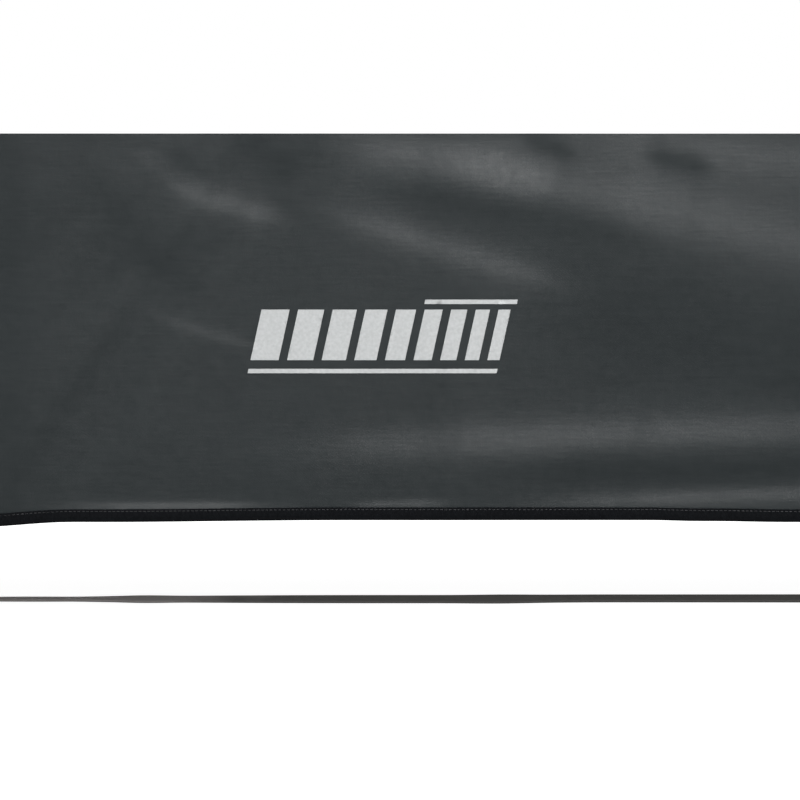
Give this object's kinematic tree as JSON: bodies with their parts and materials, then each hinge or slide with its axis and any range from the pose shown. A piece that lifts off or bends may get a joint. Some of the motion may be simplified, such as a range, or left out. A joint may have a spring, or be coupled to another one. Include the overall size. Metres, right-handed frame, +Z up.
{
  "type": "pop up ground blind",
  "caption": "Square pop-up ground blind: four hub walls and a hub roof of coated cloth on folding poles, with low and high windows, a zipped door, bound hem and ground straps.",
  "frame": {"origin": "on the ground, under the roof hub, at the middle of the footprint", "axes": "+Z up; -Y out through the front wall, the one with the strap and the low window; +X to the right when facing that wall"},
  "size_m": [2.3594, 2.3594, 1.9497],
  "materials": {
    "blackout_fabric": "coated polyester with a soft sheen and shallow wrinkles",
    "binding_tape": "matte grosgrain tape, stitched",
    "strap_webbing": "flat woven polyester webbing",
    "moulded_nylon": "fine moulded grain",
    "fibreglass_rod": "satin resin over glass fibre, metal ferrule",
    "zip_tape": "coil zip on woven tape",
    "slider_zinc": "blackened cast zinc",
    "boot_vinyl": "coated corner patch and moulded foot"
  },
  "bodies": {
    "root": {"front_wall": "blackout_fabric", "right_wall": "blackout_fabric", "back_wall": "blackout_fabric", "left_wall": "blackout_fabric", "roof_fabric": "blackout_fabric", "front_hem_binding": "binding_tape", "right_hem_binding": "binding_tape", "back_hem_binding": "binding_tape", "left_hem_binding": "binding_tape", "front_ground_strap": "strap_webbing", "right_ground_strap": "strap_webbing", "left_ground_strap": "strap_webbing", "lower_boot_front_left": "boot_vinyl", "upper_boot_front_left": "boot_vinyl", "lower_boot_front_right": "boot_vinyl", "upper_boot_front_right": "boot_vinyl", "lower_boot_back_right": "boot_vinyl", "upper_boot_back_right": "boot_vinyl", "lower_boot_back_left": "boot_vinyl", "upper_boot_back_left": "boot_vinyl", "door_zip_chain": "zip_tape"},
    "front_hub_set": {"front_hub": "moulded_nylon", "front_hub_cap": "moulded_nylon"},
    "front_pole_lower_left_body": {"front_pole_lower_left": "fibreglass_rod"},
    "front_pole_upper_left_body": {"front_pole_upper_left": "fibreglass_rod"},
    "front_pole_lower_right_body": {"front_pole_lower_right": "fibreglass_rod"},
    "front_pole_upper_right_body": {"front_pole_upper_right": "fibreglass_rod"},
    "right_hub_set": {"right_hub": "moulded_nylon", "right_hub_cap": "moulded_nylon"},
    "right_pole_lower_left_body": {"right_pole_lower_left": "fibreglass_rod"},
    "right_pole_upper_left_body": {"right_pole_upper_left": "fibreglass_rod"},
    "right_pole_lower_right_body": {"right_pole_lower_right": "fibreglass_rod"},
    "right_pole_upper_right_body": {"right_pole_upper_right": "fibreglass_rod"},
    "back_hub_set": {"back_hub": "moulded_nylon", "back_hub_cap": "moulded_nylon"},
    "back_pole_lower_left_body": {"back_pole_lower_left": "fibreglass_rod"},
    "back_pole_upper_left_body": {"back_pole_upper_left": "fibreglass_rod"},
    "back_pole_lower_right_body": {"back_pole_lower_right": "fibreglass_rod"},
    "back_pole_upper_right_body": {"back_pole_upper_right": "fibreglass_rod"},
    "left_hub_set": {"left_hub": "moulded_nylon", "left_hub_cap": "moulded_nylon"},
    "left_pole_lower_left_body": {"left_pole_lower_left": "fibreglass_rod"},
    "left_pole_upper_left_body": {"left_pole_upper_left": "fibreglass_rod"},
    "left_pole_lower_right_body": {"left_pole_lower_right": "fibreglass_rod"},
    "left_pole_upper_right_body": {"left_pole_upper_right": "fibreglass_rod"},
    "roof_hub_set": {"roof_hub": "moulded_nylon", "roof_hub_cap": "moulded_nylon"},
    "roof_pole_lower_left_body": {"roof_pole_lower_left": "fibreglass_rod"},
    "roof_pole_upper_left_body": {"roof_pole_upper_left": "fibreglass_rod"},
    "roof_pole_lower_right_body": {"roof_pole_lower_right": "fibreglass_rod"},
    "roof_pole_upper_right_body": {"roof_pole_upper_right": "fibreglass_rod"},
    "front_high_cover_flap": {"front_high_cover": "blackout_fabric"},
    "front_low_cover_flap": {"front_low_cover": "blackout_fabric"},
    "right_high_cover_flap": {"right_high_cover": "blackout_fabric"},
    "back_high_cover_flap": {"back_high_cover": "blackout_fabric"},
    "back_low_cover_flap": {"back_low_cover": "blackout_fabric"},
    "left_high_cover_flap": {"left_high_cover": "blackout_fabric"},
    "door": {"door_flap": "blackout_fabric"},
    "door_slider_lower_body": {"door_slider_lower": "slider_zinc"},
    "door_slider_upper_body": {"door_slider_upper": "slider_zinc"}
  },
  "joints": [
    {"name": "front_hub_pop", "type": "slide", "parent": "root", "child": "front_hub_set", "axis": [0, 1, 0], "range_m": [0, 0.17], "deforming": ["front_wall"]},
    {"name": "front_pole_lower_left_hinge", "type": "hinge", "parent": "front_hub_set", "child": "front_pole_lower_left_body", "pos_m": [-0.02854, -1.12, 0.83991], "axis": [-0.6602, 0, 0.7511], "range_deg": [0, 8.3]},
    {"name": "front_pole_upper_left_hinge", "type": "hinge", "parent": "front_hub_set", "child": "front_pole_upper_left_body", "pos_m": [-0.02854, -1.12, 0.89009], "axis": [0.6602, 0, 0.7511], "range_deg": [0, 8.3]},
    {"name": "front_pole_lower_right_hinge", "type": "hinge", "parent": "front_hub_set", "child": "front_pole_lower_right_body", "pos_m": [0.02854, -1.12, 0.83991], "axis": [-0.6602, 0, -0.7511], "range_deg": [0, 8.3]},
    {"name": "front_pole_upper_right_hinge", "type": "hinge", "parent": "front_hub_set", "child": "front_pole_upper_right_body", "pos_m": [0.02854, -1.12, 0.89009], "axis": [0.6602, 0, -0.7511], "range_deg": [0, 8.3]},
    {"name": "right_hub_pop", "type": "slide", "parent": "root", "child": "right_hub_set", "axis": [-1, 0, 0], "range_m": [0, 0.17], "deforming": ["right_wall"]},
    {"name": "right_pole_lower_left_hinge", "type": "hinge", "parent": "right_hub_set", "child": "right_pole_lower_left_body", "pos_m": [1.12, -0.02854, 0.83991], "axis": [0, -0.6602, 0.7511], "range_deg": [0, 8.3]},
    {"name": "right_pole_upper_left_hinge", "type": "hinge", "parent": "right_hub_set", "child": "right_pole_upper_left_body", "pos_m": [1.12, -0.02854, 0.89009], "axis": [0, 0.6602, 0.7511], "range_deg": [0, 8.3]},
    {"name": "right_pole_lower_right_hinge", "type": "hinge", "parent": "right_hub_set", "child": "right_pole_lower_right_body", "pos_m": [1.12, 0.02854, 0.83991], "axis": [0, -0.6602, -0.7511], "range_deg": [0, 8.3]},
    {"name": "right_pole_upper_right_hinge", "type": "hinge", "parent": "right_hub_set", "child": "right_pole_upper_right_body", "pos_m": [1.12, 0.02854, 0.89009], "axis": [0, 0.6602, -0.7511], "range_deg": [0, 8.3]},
    {"name": "back_hub_pop", "type": "slide", "parent": "root", "child": "back_hub_set", "axis": [0, -1, 0], "range_m": [0, 0.17], "deforming": ["back_wall"]},
    {"name": "back_pole_lower_left_hinge", "type": "hinge", "parent": "back_hub_set", "child": "back_pole_lower_left_body", "pos_m": [0.02854, 1.12, 0.83991], "axis": [0.6602, 0, 0.7511], "range_deg": [0, 8.3]},
    {"name": "back_pole_upper_left_hinge", "type": "hinge", "parent": "back_hub_set", "child": "back_pole_upper_left_body", "pos_m": [0.02854, 1.12, 0.89009], "axis": [-0.6602, 0, 0.7511], "range_deg": [0, 8.3]},
    {"name": "back_pole_lower_right_hinge", "type": "hinge", "parent": "back_hub_set", "child": "back_pole_lower_right_body", "pos_m": [-0.02854, 1.12, 0.83991], "axis": [0.6602, 0, -0.7511], "range_deg": [0, 8.3]},
    {"name": "back_pole_upper_right_hinge", "type": "hinge", "parent": "back_hub_set", "child": "back_pole_upper_right_body", "pos_m": [-0.02854, 1.12, 0.89009], "axis": [-0.6602, 0, -0.7511], "range_deg": [0, 8.3]},
    {"name": "left_hub_pop", "type": "slide", "parent": "root", "child": "left_hub_set", "axis": [1, 0, 0], "range_m": [0, 0.17], "deforming": ["left_wall"]},
    {"name": "left_pole_lower_left_hinge", "type": "hinge", "parent": "left_hub_set", "child": "left_pole_lower_left_body", "pos_m": [-1.12, 0.02854, 0.83991], "axis": [0, 0.6602, 0.7511], "range_deg": [0, 8.3]},
    {"name": "left_pole_upper_left_hinge", "type": "hinge", "parent": "left_hub_set", "child": "left_pole_upper_left_body", "pos_m": [-1.12, 0.02854, 0.89009], "axis": [0, -0.6602, 0.7511], "range_deg": [0, 8.3]},
    {"name": "left_pole_lower_right_hinge", "type": "hinge", "parent": "left_hub_set", "child": "left_pole_lower_right_body", "pos_m": [-1.12, -0.02854, 0.83991], "axis": [0, 0.6602, -0.7511], "range_deg": [0, 8.3]},
    {"name": "left_pole_upper_right_hinge", "type": "hinge", "parent": "left_hub_set", "child": "left_pole_upper_right_body", "pos_m": [-1.12, -0.02854, 0.89009], "axis": [0, -0.6602, -0.7511], "range_deg": [0, 8.3]},
    {"name": "roof_hub_pop", "type": "slide", "parent": "root", "child": "roof_hub_set", "axis": [0, 0, -1], "range_m": [0, 0.19], "deforming": ["roof_fabric"]},
    {"name": "roof_pole_lower_left_hinge", "type": "hinge", "parent": "roof_hub_set", "child": "roof_pole_lower_left_body", "pos_m": [-0.02687, -0.02687, 1.89], "axis": [-0.7071, 0.7071, 0], "range_deg": [0, 8.68]},
    {"name": "roof_pole_upper_left_hinge", "type": "hinge", "parent": "roof_hub_set", "child": "roof_pole_upper_left_body", "pos_m": [-0.02687, 0.02687, 1.89], "axis": [0.7071, 0.7071, 0], "range_deg": [0, 8.68]},
    {"name": "roof_pole_lower_right_hinge", "type": "hinge", "parent": "roof_hub_set", "child": "roof_pole_lower_right_body", "pos_m": [0.02687, -0.02687, 1.89], "axis": [-0.7071, -0.7071, 0], "range_deg": [0, 8.68]},
    {"name": "roof_pole_upper_right_hinge", "type": "hinge", "parent": "roof_hub_set", "child": "roof_pole_upper_right_body", "pos_m": [0.02687, 0.02687, 1.89], "axis": [0.7071, -0.7071, 0], "range_deg": [0, 8.68]},
    {"name": "front_high_cover_swing", "type": "hinge", "parent": "root", "child": "front_high_cover_flap", "pos_m": [0, -1.0021, 1.44814], "axis": [1, 0, 0], "range_deg": [0, 80]},
    {"name": "front_low_cover_swing", "type": "hinge", "parent": "root", "child": "front_low_cover_flap", "pos_m": [0, -1.02622, 0.38256], "axis": [1, 0, 0], "range_deg": [0, 178]},
    {"name": "right_high_cover_swing", "type": "hinge", "parent": "root", "child": "right_high_cover_flap", "pos_m": [1.0021, 0, 1.44814], "axis": [0, 1, 0], "range_deg": [0, 80]},
    {"name": "back_high_cover_swing", "type": "hinge", "parent": "root", "child": "back_high_cover_flap", "pos_m": [0, 1.0021, 1.44814], "axis": [-1, 0, 0], "range_deg": [0, 80]},
    {"name": "back_low_cover_swing", "type": "hinge", "parent": "root", "child": "back_low_cover_flap", "pos_m": [0, 1.0186, 0.35076], "axis": [-1, 0, 0], "range_deg": [0, 178]},
    {"name": "left_high_cover_swing", "type": "hinge", "parent": "root", "child": "left_high_cover_flap", "pos_m": [-1.0021, 0, 1.44814], "axis": [0, -1, 0], "range_deg": [0, 80]},
    {"name": "door_swing", "type": "hinge", "parent": "root", "child": "door", "pos_m": [-0.90372, 0.95923, 0.865], "axis": [0, 0, 1], "range_deg": [0, 100]},
    {"name": "door_slider_lower_travel", "type": "slide", "parent": "root", "child": "door_slider_lower_body", "axis": [-0.7514, -0.1582, -0.6406], "range_m": [0, 0.95]},
    {"name": "door_slider_upper_travel", "type": "slide", "parent": "root", "child": "door_slider_upper_body", "axis": [-0.7654, -0.1611, 0.6231], "range_m": [0, 0.931]}
  ],
  "couplings": [
    {"joint": "front_pole_lower_left_hinge", "follows": "front_hub_pop", "rad_per_m": 0.85006},
    {"joint": "front_pole_upper_left_hinge", "follows": "front_hub_pop", "rad_per_m": 0.85006},
    {"joint": "front_pole_lower_right_hinge", "follows": "front_hub_pop", "rad_per_m": 0.85006},
    {"joint": "front_pole_upper_right_hinge", "follows": "front_hub_pop", "rad_per_m": 0.85006},
    {"joint": "right_pole_lower_left_hinge", "follows": "right_hub_pop", "rad_per_m": 0.85006},
    {"joint": "right_pole_upper_left_hinge", "follows": "right_hub_pop", "rad_per_m": 0.85006},
    {"joint": "right_pole_lower_right_hinge", "follows": "right_hub_pop", "rad_per_m": 0.85006},
    {"joint": "right_pole_upper_right_hinge", "follows": "right_hub_pop", "rad_per_m": 0.85006},
    {"joint": "back_pole_lower_left_hinge", "follows": "back_hub_pop", "rad_per_m": 0.85006},
    {"joint": "back_pole_upper_left_hinge", "follows": "back_hub_pop", "rad_per_m": 0.85006},
    {"joint": "back_pole_lower_right_hinge", "follows": "back_hub_pop", "rad_per_m": 0.85006},
    {"joint": "back_pole_upper_right_hinge", "follows": "back_hub_pop", "rad_per_m": 0.85006},
    {"joint": "left_pole_lower_left_hinge", "follows": "left_hub_pop", "rad_per_m": 0.85006},
    {"joint": "left_pole_upper_left_hinge", "follows": "left_hub_pop", "rad_per_m": 0.85006},
    {"joint": "left_pole_lower_right_hinge", "follows": "left_hub_pop", "rad_per_m": 0.85006},
    {"joint": "left_pole_upper_right_hinge", "follows": "left_hub_pop", "rad_per_m": 0.85006},
    {"joint": "roof_pole_lower_left_hinge", "follows": "roof_hub_pop", "rad_per_m": 0.79584},
    {"joint": "roof_pole_upper_left_hinge", "follows": "roof_hub_pop", "rad_per_m": 0.79584},
    {"joint": "roof_pole_lower_right_hinge", "follows": "roof_hub_pop", "rad_per_m": 0.79584},
    {"joint": "roof_pole_upper_right_hinge", "follows": "roof_hub_pop", "rad_per_m": 0.79584}
  ]
}
